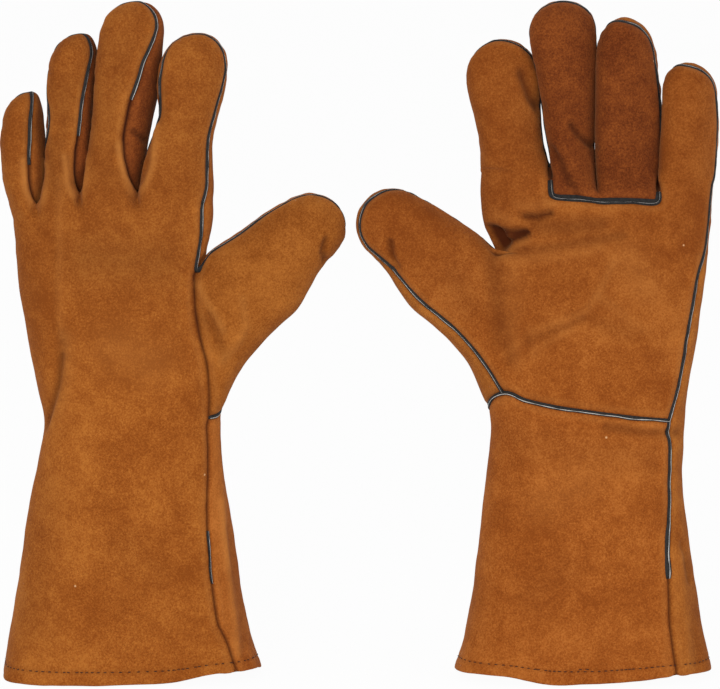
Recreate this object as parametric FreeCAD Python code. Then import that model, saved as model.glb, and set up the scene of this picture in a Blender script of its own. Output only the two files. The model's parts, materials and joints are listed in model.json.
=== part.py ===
"""A pair of long leather welding gauntlets, standing on their cuffs. Units are millimetres.

Frame: +Z up the hand from the hem to the fingertips, +Y away from the viewer who sees the back of
the first glove, origin at the middle of the pair, on the surface that both hems stand on.

Both gloves have the same cut: a one-piece back, a palm piece that carries the fronts of the
forefinger and the little finger, an inset for the fronts of the two middle fingers, a thumb back,
a cuff piece on the palm side, welts in the seams, and a lining. Each digit hinges where it leaves
the hand, on the palm-side surface, so that it folds towards the palm.

Each glove is described in its own frame: x to the thumb side, y to the palm side, z up the hand.
"""

import FreeCAD
import Part
import math
import os
from FreeCAD import Vector

# Leather, lining and seams.
LEATHER = 1.6
LINING = 1.4
LINING_GAP = 0.25
WELT_THICKNESS = 2.0
WELT_PROUD = 0.9
DIGIT_WELT_PROUD = 0.35

# Running gap between a digit and the hand that it hinges on.
HINGE_GAP = 0.35

# The hem: a turned edge under a row of stitches.
HEM_HEIGHT = 13.0
HEM_FOLD = 1.4
STITCH_PITCH = 5.0
STITCH_LENGTH = 3.0
STITCH_THICKNESS = 0.6
STITCH_CLEARANCE = 0.05

# Sections: how many points, and their squareness (2 is an ellipse, and more is squarer).
SECTION_POINTS = 8
SQUARENESS = 2.2

INSET_WELT_HEIGHT = 2.4

# Angles of the sections of a digit's round end.
TIP_ANGLES = (28, 50, 70)

REACH = 400.0
SMALLEST_SOLID = 0.3

# The side seam starts at the forefinger's side, a fixed way across the hand, and meets the other
# side in front of the little finger's edge at the hem and nearly on it at the finger.
# (height, turn from straight across)
SEAM_CROSSING = 36.0
SEAM_TURNS = ((-10, 14), (140, 10), (190, 6), (300, 1.5))

# Where each glove stands, and how far it is turned about the vertical. The rest is in the glove's
# own frame:
#   hand: (height, middle, half width, half depth)
#   crotches: x of the three crotches, from the little finger's to the forefinger's
#   thumb_crotch: x and height, and the lean of the line that parts the thumb from the hand
#   wrist: height of the wrist seam at the middle, and its slope
#   inset_drop: how far the inset's lower edge, with its welt, is below the middle finger's base
#   digits: base, lean to the thumb side, seam roll, length, and
#           (distance, offset, half width, half depth) along it
GLOVES = {
    "first": {
        "place": (-118.2, 0.0),
        "turn": 0.0,
        "hand": [
            (0, -1.1, 66.0, 33.0),
            (22, -1.1, 62.6, 32.0),
            (72, -1.6, 54.8, 29.5),
            (122, -0.9, 46.8, 26.6),
            (136, -0.2, 44.6, 25.2),
            (165, -3.2, 47.0, 24.4),
            (190, -8.3, 47.2, 23.6),
            (220, -11.6, 48.0, 21.6),
            (240, -10.9, 50.8, 19.0),
            (266, -10.6, 53.2, 15.2),
        ],
        "crotches": (-48.5, -26.4, 4.3),
        "thumb_crotch": (37.0, 221.0, 32.0),
        "wrist": (141.0, 4.0),
        "inset_drop": 6.8,
        "digits": {
            "little": ((-56.8, 0, 252), -1.0, 20, 57,
                       [(0, 0, 7.7, 11.0), (20, -0.6, 9.2, 11.8), (36, 0, 9.8, 11.5)]),
            "ring": ((-37.6, 0, 258.5), 6.5, 15, 81,
                     [(0, 0, 9.9, 13.2), (30, -1.2, 8.9, 13.5), (55, -2.0, 9.8, 13.4), (66, -1.2, 10.0, 13.0)]),
            "middle": ((-11.2, 0, 259.3), 7.0, 15, 97,
                       [(0, 0, 14.6, 13.8), (25, -0.3, 16.5, 14.0), (55, 0, 16.9, 14.0), (78, 1.6, 16.4, 13.8)]),
            "index": ((23.8, 0, 256.3), 7.5, 10, 83.5,
                      [(0, 0, 18.8, 13.6), (28, -1.3, 15.7, 13.8), (45, 0.4, 15.8, 13.8), (65, 0, 17.2, 13.6)]),
            "thumb": ((33.5, -1, 183.5), 48.0, 0, 99.5,
                      [(-20, 4, 29.0, 20.0), (5, 1.2, 27.4, 19.0), (43, 0, 25.6, 17.5),
                       (65, -0.9, 22.2, 16.0), (83, -0.7, 18.0, 14.2)]),
        },
        "thumb_hinge": 43.0,
    },
    "second": {
        "place": (115.8, 0.0),
        "turn": 180.0,
        "hand": [
            (0, -0.2, 66.0, 33.0),
            (22, -0.7, 62.6, 32.0),
            (72, -1.2, 54.8, 29.5),
            (97, -1.0, 51.8, 28.5),
            (134, -3.6, 50.2, 27.0),
            (153, -3.5, 51.0, 26.4),
            (190, -9.0, 51.8, 25.0),
            (228, -11.4, 53.6, 21.8),
            (245, -8.5, 58.6, 19.0),
            (270, -7.7, 60.3, 15.2),
        ],
        "crotches": (-38.9, -7.3, 16.4),
        "thumb_crotch": (43.0, 227.5, 34.0),
        "wrist": (144.5, 8.6),
        "inset_drop": 13.5,
        "digits": {
            "little": ((-53.9, 0, 256.5), -2.2, 10, 67,
                       [(0, 0.2, 14.2, 13.0), (20, -0.6, 14.3, 13.4), (51, 0.1, 14.0, 13.0)]),
            "ring": ((-23.4, 0, 256.8), 1.3, 10, 90.5,
                     [(0, 0.3, 15.0, 13.6), (40, -1.4, 15.7, 14.0), (70, -1.1, 14.8, 13.6)]),
            "middle": ((4.3, 0, 266), 4.2, 5, 90,
                       [(0, 0, 10.7, 13.6), (25, 0, 12.2, 13.8), (55, 0.5, 14.7, 14.0), (73, 0.2, 15.6, 13.8)]),
            "index": ((34.6, 0, 264.5), 7.6, 5, 72,
                      [(0, 0, 16.8, 13.6), (20, -0.2, 15.5, 13.8), (40, 1.2, 16.4, 13.8), (54, 1.2, 16.4, 13.6)]),
            "thumb": ((42, -1, 190), 49.0, 0, 95.5,
                      [(-22, 0, 27.0, 20.0), (8, -1, 26.5, 19.0), (30, -1, 25.8, 18.0),
                       (47, -0.6, 24.3, 17.0), (62, -1.8, 21.2, 16.0), (80, -0.2, 17.2, 14.0)]),
        },
        "thumb_hinge": 40.0,
    },
}


def power(value, exponent):
    return math.copysign(abs(value) ** exponent, value)


def section(middle, across, deep, half_width, half_depth):
    """A smooth closed section in the plane of across and deep, a little squarer than an ellipse."""
    points = []
    for i in range(SECTION_POINTS):
        angle = 2 * math.pi * i / SECTION_POINTS
        u = half_width * power(math.cos(angle), 2 / SQUARENESS)
        v = half_depth * power(math.sin(angle), 2 / SQUARENESS)
        points.append(middle + across * u + deep * v)
    curve = Part.BSplineCurve()
    curve.interpolate(points, PeriodicFlag=True)
    return Part.Wire([curve.toShape()])


def box_between(low, high):
    size = [high[i] - low[i] for i in range(3)]
    return Part.makeBox(*size, Vector(*low))


def half_space(point, normal):
    """A large block on the side of the plane that the normal points to."""
    block = Part.makeBox(2 * REACH, 2 * REACH, REACH, Vector(-REACH, -REACH, 0))
    block.Placement = FreeCAD.Placement(point, FreeCAD.Rotation(Vector(0, 0, 1), normal))
    return block


def slab(point, normal, thickness):
    """A large plate, centred on the plane."""
    block = Part.makeBox(2 * REACH, 2 * REACH, thickness, Vector(-REACH, -REACH, -thickness / 2))
    block.Placement = FreeCAD.Placement(point, FreeCAD.Rotation(Vector(0, 0, 1), normal))
    return block


def solids_of(shape):
    """The shape's solids, without crumbs that a cut may leave."""
    kept = [s for s in shape.Solids if s.Volume > SMALLEST_SOLID]
    return kept[0] if len(kept) == 1 else Part.makeCompound(kept)


class Digit:
    """A finger or thumb: a tube of oval sections with a round end, along its own axis."""

    def __init__(self, spec, start=0.0):
        base, lean, roll, self.length, self.stations = spec
        lean = math.radians(lean)
        self.along = Vector(math.sin(lean), 0, math.cos(lean))
        self.across = Vector(math.cos(lean), 0, -math.sin(lean))
        self.palmward = self.along.cross(self.across)
        self.base = Vector(*base)
        self.start = start
        turn = math.radians(roll)
        self.seam_normal = self.palmward * math.cos(turn) + self.across * math.sin(turn)

    def at(self, t):
        """Offset, half width and half depth at the distance t from the base, between stations."""
        rows = self.stations
        if t <= rows[0][0]:
            return rows[0][1:]
        for low, high in zip(rows, rows[1:]):
            if t <= high[0]:
                share = (t - low[0]) / (high[0] - low[0])
                return tuple(a + (b - a) * share for a, b in zip(low[1:], high[1:]))
        return rows[-1][1:]

    def middle(self, t):
        return self.base + self.along * t + self.across * self.at(t)[0]

    def tube(self, grow, start, end=None):
        """The outer shape grown by that much all round, from start to the tip or to end."""
        wires = []
        last = self.stations[-1][0]
        rows = [start] + [r[0] for r in self.stations if r[0] > start + 2 and (end is None or r[0] < end - 2)]
        if end is not None:
            rows.append(end)
        for t in rows:
            offset, half_width, half_depth = self.at(t)
            wires.append(self.oval(t, offset, half_width + grow, half_depth + grow))
        if end is None:
            offset, half_width, half_depth = self.at(last)
            reach = self.length + grow - last
            for angle in TIP_ANGLES:
                turn = math.radians(angle)
                shrink = math.cos(turn)
                wires.append(self.oval(last + reach * math.sin(turn), offset,
                                       (half_width + grow) * shrink, (half_depth + grow) * shrink))
        return Part.makeLoft(wires, True, True)

    def oval(self, t, offset, half_width, half_depth):
        place = self.base + self.along * t + self.across * offset
        return section(place, self.across, self.palmward, half_width, half_depth)

    def hinge(self):
        """A point on the hinge's axis, and the axis: a positive turn folds the digit to the palm."""
        return self.middle(self.start) + self.palmward * self.at(self.start)[2], self.across * -1

    def pieces(self):
        """Leather back and front, the welt between them, and the lining, all clear of the hand."""
        start = self.start + HINGE_GAP
        outer = self.tube(0, start)
        hollow = self.tube(-LEATHER, start - 1)
        shell = outer.cut(hollow)
        seam = self.middle(start)
        half_welt = self.seam_normal * (WELT_THICKNESS / 2)
        front = shell.common(half_space(seam + half_welt, self.seam_normal))
        back = shell.common(half_space(seam - half_welt, self.seam_normal * -1))
        proud = self.tube(DIGIT_WELT_PROUD, start).cut(hollow)
        welt = proud.common(slab(seam, self.seam_normal, WELT_THICKNESS))
        lining_out = self.tube(-LEATHER - LINING_GAP, start)
        lining_in = self.tube(-LEATHER - LINING_GAP - LINING, start - 1)
        return {
            "back": back,
            "front": front,
            "welt": welt,
            "lining": lining_out.cut(lining_in),
        }


class Glove:
    def __init__(self, spec):
        self.spec = spec
        self.digits = {}
        for name, digit in spec["digits"].items():
            start = spec["thumb_hinge"] if name == "thumb" else 0.0
            self.digits[name] = Digit(digit, start)
        height, drop = spec["wrist"]
        turn = math.radians(drop)
        self.wrist_point = Vector(0, 0, height)
        self.wrist_normal = Vector(-math.sin(turn), 0, math.cos(turn))

    def hand_tube(self, grow, overrun=0.0):
        wires = []
        rows = self.spec["hand"]
        for i, (z, x, half_width, half_depth) in enumerate(rows):
            z += -overrun if i == 0 else overrun if i == len(rows) - 1 else 0
            wires.append(section(Vector(x, 0, z), Vector(1, 0, 0), Vector(0, 1, 0),
                                 half_width + grow, half_depth + grow))
        return Part.makeLoft(wires, True, True)

    def body(self, grow, overrun=0.0):
        """The hand, the cuff and the thumb's root as one solid, grown by that much."""
        thumb = self.digits["thumb"]
        root = thumb.tube(grow, thumb.stations[0][0], thumb.start + overrun)
        return self.hand_tube(grow, overrun).fuse(root)

    def above_fingers(self):
        """All the room above the planes where the fingers leave the hand."""
        edges = (-REACH, *self.spec["crotches"], REACH)
        fingers = [self.digits[n] for n in ("little", "ring", "middle", "index")]
        blocks = []
        for low, high, finger in zip(edges, edges[1:], fingers):
            column = box_between((low, -REACH, 100), (high, REACH, REACH))
            blocks.append(column.common(half_space(finger.base, finger.along)))
        return blocks[0].multiFuse(blocks[1:])

    def front_room(self, offset):
        """All the room on the palm side of the side seam, moved to the palm by the offset."""
        wires = []
        for z, turn in SEAM_TURNS:
            turn = math.radians(turn)
            across = Vector(math.cos(turn), -math.sin(turn), 0) * REACH
            palmward = Vector(math.sin(turn), math.cos(turn), 0)
            middle = Vector(SEAM_CROSSING, 0, z) + palmward * offset
            far = palmward * REACH
            corners = [middle - across, middle + across, middle + across + far, middle - across + far]
            wires.append(Part.makePolygon(corners + corners[:1]))
        return Part.makeLoft(wires, True, True)

    def inset_rooms(self):
        """The rooms of the inset's root and of the welt under it, on the palm side."""
        low, _, high = self.spec["crotches"]
        top = self.digits["middle"].base.z - self.spec["inset_drop"]
        bottom = top - INSET_WELT_HEIGHT
        root = box_between((low, 0, top), (high, REACH, REACH))
        return root, box_between((low, 0, bottom), (high, REACH, top))

    def thumb_room(self):
        """The room of the thumb's root, parted from the hand at the crotch and from the cuff."""
        x, z, lean = self.spec["thumb_crotch"]
        lean = math.radians(lean)
        column = box_between((x, -REACH, 0), (REACH, REACH, REACH))
        lower = half_space(Vector(x, 0, z), Vector(math.cos(lean), 0, -math.sin(lean)))
        return column.common(lower).common(half_space(self.wrist_point, self.wrist_normal))

    def hand_pieces(self):
        half = WELT_THICKNESS / 2
        front, front_and_seam = self.front_room(half), self.front_room(-half)
        wrist = self.wrist_normal
        fingers, thumb = self.above_fingers(), self.thumb_room()
        hollow = self.body(-LEATHER, 1.0)
        shell = self.body(0).cut(hollow).cut(fingers)
        proud = self.body(WELT_PROUD).cut(hollow).cut(fingers)

        backs = shell.cut(front_and_seam)
        fronts = shell.common(front)
        cuff = fronts.common(half_space(self.wrist_point - wrist * half, wrist * -1))
        palm = fronts.common(half_space(self.wrist_point + wrist * half, wrist))

        seam = proud.common(front_and_seam).cut(front)
        proud_front = proud.common(front)
        wrist_welt = proud_front.common(slab(self.wrist_point, wrist, WELT_THICKNESS))
        inset_root, under_inset = self.inset_rooms()
        return {
            "back_panel": backs.cut(thumb),
            "palm_panel": palm.cut(inset_root.fuse(under_inset)),
            "inset_panel": palm.common(inset_root),
            "thumb_back_panel": backs.common(thumb),
            "cuff_panel": cuff,
            "side_welts": seam,
            "wrist_welt": wrist_welt,
            "inset_welt": proud_front.common(under_inset),
        }

    def lining(self):
        outside = self.body(-LEATHER - LINING_GAP).cut(self.body(-LEATHER - LINING_GAP - LINING, 1.0))
        floor = box_between((-REACH, -REACH, -REACH), (REACH, REACH, HEM_FOLD))
        return outside.cut(self.above_fingers()).cut(floor)

    def hem_stitches(self):
        """A row of stitches round the cuff, on the outside of the leather and clear of the side welts."""
        z, x, half_width, half_depth = self.at_height(HEM_HEIGHT)
        half_width += STITCH_THICKNESS / 2 + STITCH_CLEARANCE
        half_depth += STITCH_THICKNESS / 2 + STITCH_CLEARANCE
        ring = section(Vector(x, 0, z), Vector(1, 0, 0), Vector(0, 1, 0), half_width, half_depth)
        half = WELT_THICKNESS / 2
        seams = self.front_room(-half).cut(self.front_room(half))
        count = int(ring.Length / STITCH_PITCH)
        edge = ring.Edges[0]
        stitches = []
        for i in range(count):
            parameter = edge.getParameterByLength(ring.Length * i / count)
            place, direction = edge.valueAt(parameter), edge.tangentAt(parameter)
            stitch = Part.makeCylinder(STITCH_THICKNESS / 2, STITCH_LENGTH,
                                       place - direction * (STITCH_LENGTH / 2), direction)
            if stitch.distToShape(seams)[0] > STITCH_CLEARANCE:
                stitches.append(stitch)
        return Part.makeCompound(stitches)

    def at_height(self, z):
        rows = self.spec["hand"]
        for low, high in zip(rows, rows[1:]):
            if z <= high[0]:
                share = (z - low[0]) / (high[0] - low[0])
                return tuple(a + (b - a) * share for a, b in zip(low, high))
        return rows[-1]

    def stand(self, shape):
        """The shape where the glove stands in the pair's frame."""
        x, y = self.spec["place"]
        placed = shape.copy()
        placed.rotate(Vector(0, 0, 0), Vector(0, 0, 1), self.spec["turn"])
        placed.translate(Vector(x, y, 0))
        return placed

    def all_pieces(self):
        made = self.hand_pieces()
        made["hand_lining"] = self.lining()
        made["hem_stitches"] = self.hem_stitches()
        for name, digit in self.digits.items():
            word = name if name == "thumb" else name + "_finger"
            for kind, shape in digit.pieces().items():
                made[f"{word}_{kind}"] = shape
        return {name: self.stand(solids_of(shape)) for name, shape in made.items()}


def main():
    os.makedirs("parts", exist_ok=True)
    for glove_name, spec in GLOVES.items():
        for name, shape in Glove(spec).all_pieces().items():
            shape.exportStep(f"parts/{glove_name}_{name}.step")
            print(glove_name, name, len(shape.Solids), round(shape.Volume), shape.isValid())


if __name__ == "__main__":
    main()
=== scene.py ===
"""A pair of long leather welding gauntlets that stand on their cuffs.

Each glove is one sewn skin of suede, grown as a single mesh from the hem to the fingertips, rounded,
creased and dipped along its seams, then parted into the leather panels that a maker would cut. Welts,
the hem's stitches and the lining are pieces of their own. Everything is in millimetres in the glove's
own frame (x to the thumb side, y to the palm side, z up the hand) until each piece is placed.
"""

import bmesh
import bpy
import json
import math
import numpy as np
from mathutils import Matrix, Vector, kdtree, noise

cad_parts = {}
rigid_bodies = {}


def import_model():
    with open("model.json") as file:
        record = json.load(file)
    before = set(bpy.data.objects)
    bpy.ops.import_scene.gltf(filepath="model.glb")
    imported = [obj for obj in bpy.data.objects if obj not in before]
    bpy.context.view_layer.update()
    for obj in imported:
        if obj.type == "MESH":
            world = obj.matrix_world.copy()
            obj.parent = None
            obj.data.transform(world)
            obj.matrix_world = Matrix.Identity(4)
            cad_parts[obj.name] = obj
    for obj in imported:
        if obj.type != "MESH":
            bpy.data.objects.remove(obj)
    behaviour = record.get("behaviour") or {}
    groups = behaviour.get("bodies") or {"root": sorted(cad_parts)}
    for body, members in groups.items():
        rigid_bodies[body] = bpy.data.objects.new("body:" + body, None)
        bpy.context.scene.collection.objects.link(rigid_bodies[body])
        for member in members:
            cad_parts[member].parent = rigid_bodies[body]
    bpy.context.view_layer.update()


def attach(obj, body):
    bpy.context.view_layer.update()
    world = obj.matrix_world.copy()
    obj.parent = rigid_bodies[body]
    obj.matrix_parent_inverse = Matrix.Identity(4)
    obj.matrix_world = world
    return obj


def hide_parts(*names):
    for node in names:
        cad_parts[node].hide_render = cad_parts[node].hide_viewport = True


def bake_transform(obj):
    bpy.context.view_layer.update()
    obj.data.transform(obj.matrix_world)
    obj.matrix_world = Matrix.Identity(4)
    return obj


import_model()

MM = 0.001
PALM_SIDE = 1
BACK_SIDE = -1

# The power of an oval's outline: 2 is an ellipse, and more is squarer. At the hem it is greater by
# HEM_SQUARENESS, which fades out upwards over about the height that follows.
SQUARENESS = 2.25
HEM_SQUARENESS = 1.6
HEM_SQUARENESS_FADE = 26
OVAL_STEPS = 240

# Rows of the skin's mesh from the hem to the wrist seam, and the rows and columns that the thumb takes up
# above that seam. The thumb's lower seam leaves the hand six columns from the hand's side seam.
CUFF_ROWS = 28
THUMB_ROWS = 15
THUMB_COLUMNS = 7
THUMB_SEAM_COLUMN = 6
SUBDIVISIONS = 2

# The columns are evenly spaced in the cuff. From this height up, and over that much more height, they
# gather under their fingers.
GATHER_FROM = 110
GATHER_OVER = 100

# Shape of the hand's top edge: how far it arches between two crotches, how far its ends stand above the
# nearest crotch, and how far below it the last row lies, except along the inset's edge.
KNUCKLE_RISE = 4.5
SIDE_RISE = 3.0
TOP_ROW = 5.0
# Share of the hand's depth that is pinched in at a crotch, and the height and the columns that it takes.
CROTCH_PINCH = 0.09
CROTCH_PINCH_HEIGHT = 4.5
CROTCH_PINCH_COLUMNS = 0.75
# The middle of each web bulges up by this much.
WEB_RISE = 5.0

# The hem: where the lowest outer row is, and (height, inset) of its turned edge, from inside the cuff.
HEM_START = 1.5
TURNED_EDGE = ((13.5, 3.4), (7.5, 3.4), (2.1, 3.1), (0.1, 1.7), (0.6, 0.3))
TURNED_LEVEL = -20.0
# A lifted hem eases in over this depth from front to back, and its lift fades out over this height.
HEM_LIFT_DEPTH = 34
HEM_LIFT_FADE = 22
HEM_STITCH_HEIGHT = 7.6
HEM_STITCHES = 118

# (height, inset) of the lining's rings, and the height of its closed top.
LINING_RINGS = ((8, 4.4), (12, 4.5), (30, 4.6), (60, 4.6), (90, 4.8), (120, 5), (140, 7), (152, 12),
                (158, 18))
LINING_TOP = 160.0

# Distances of a finger's first rings, and the pitch of the rest.
FINGER_RINGS = (2.5, 6.0)
FINGER_START = 10.2
RING_PITCH = 4.8
# A finger's right edge is turned this far to the palm.
FINGER_TURN = 4.0
# The thumb's first rings, as (distance, how far they slope for each millimetre across), fan out of the hand.
THUMB_FAN = ((15.0, 0.60), (19.5, 0.48), (24.0, 0.35), (28.5, 0.22), (33.0, 0.09))
THUMB_START = 37.5
# Up to this distance the thumb's leather belongs to the hand.
THUMB_ROOT = 36.0
# How far a digit's first three rings have taken its own shape.
SETTLED = (0.45, 0.8, 0.96)
# Turns, in degrees, at which a digit's round end has its rings, and the power that blunts it.
DOME_TURNS = (0, 20, 38, 54, 68, 80)
DOME_POWER = 1.08

# How far a welt's underside is sunk in the leather, and the least number of vertices that make a welt's run.
WELT_ROOT = 1.6
SHORTEST_RUN = 4
# Heights between which the welts of the cuff's side seams stand out, on the little finger's side and on the
# thumb's side.
OUTER_WELT = (54, 200)
INNER_WELT = (52, 80)

# The side seams by height, in degrees from straight across: to the palm on the little finger's side, and
# to the back on the thumb's side.
OUTER_SEAM = ((0, 47), (34, 47), (73, 41), (97, 33), (123, 34), (138, 39), (149, 33), (164, 32), (185, 33),
              (201, 30), (216, 27), (227, 16), (265, 10))
INNER_SEAM = ((0, 36), (20, 36), (31, 42), (58, 43), (81, 41), (94, 39), (128, 28), (140, 31), (152, 33),
              (167, 27), (179, 31), (192, 32), (208, 28), (218, 24), (237, 30), (265, 28))

# Height of the wrist seam across the palm side, from the little finger's side to the thumb's side.
WRIST = ((0, 137), (0.2, 140), (0.35, 142.5), (0.5, 145), (0.6, 147), (0.68, 149), (0.74, 149), (0.79, 146.5),
         (0.84, 142), (0.88, 139), (0.92, 136.5), (1, 136))

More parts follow.
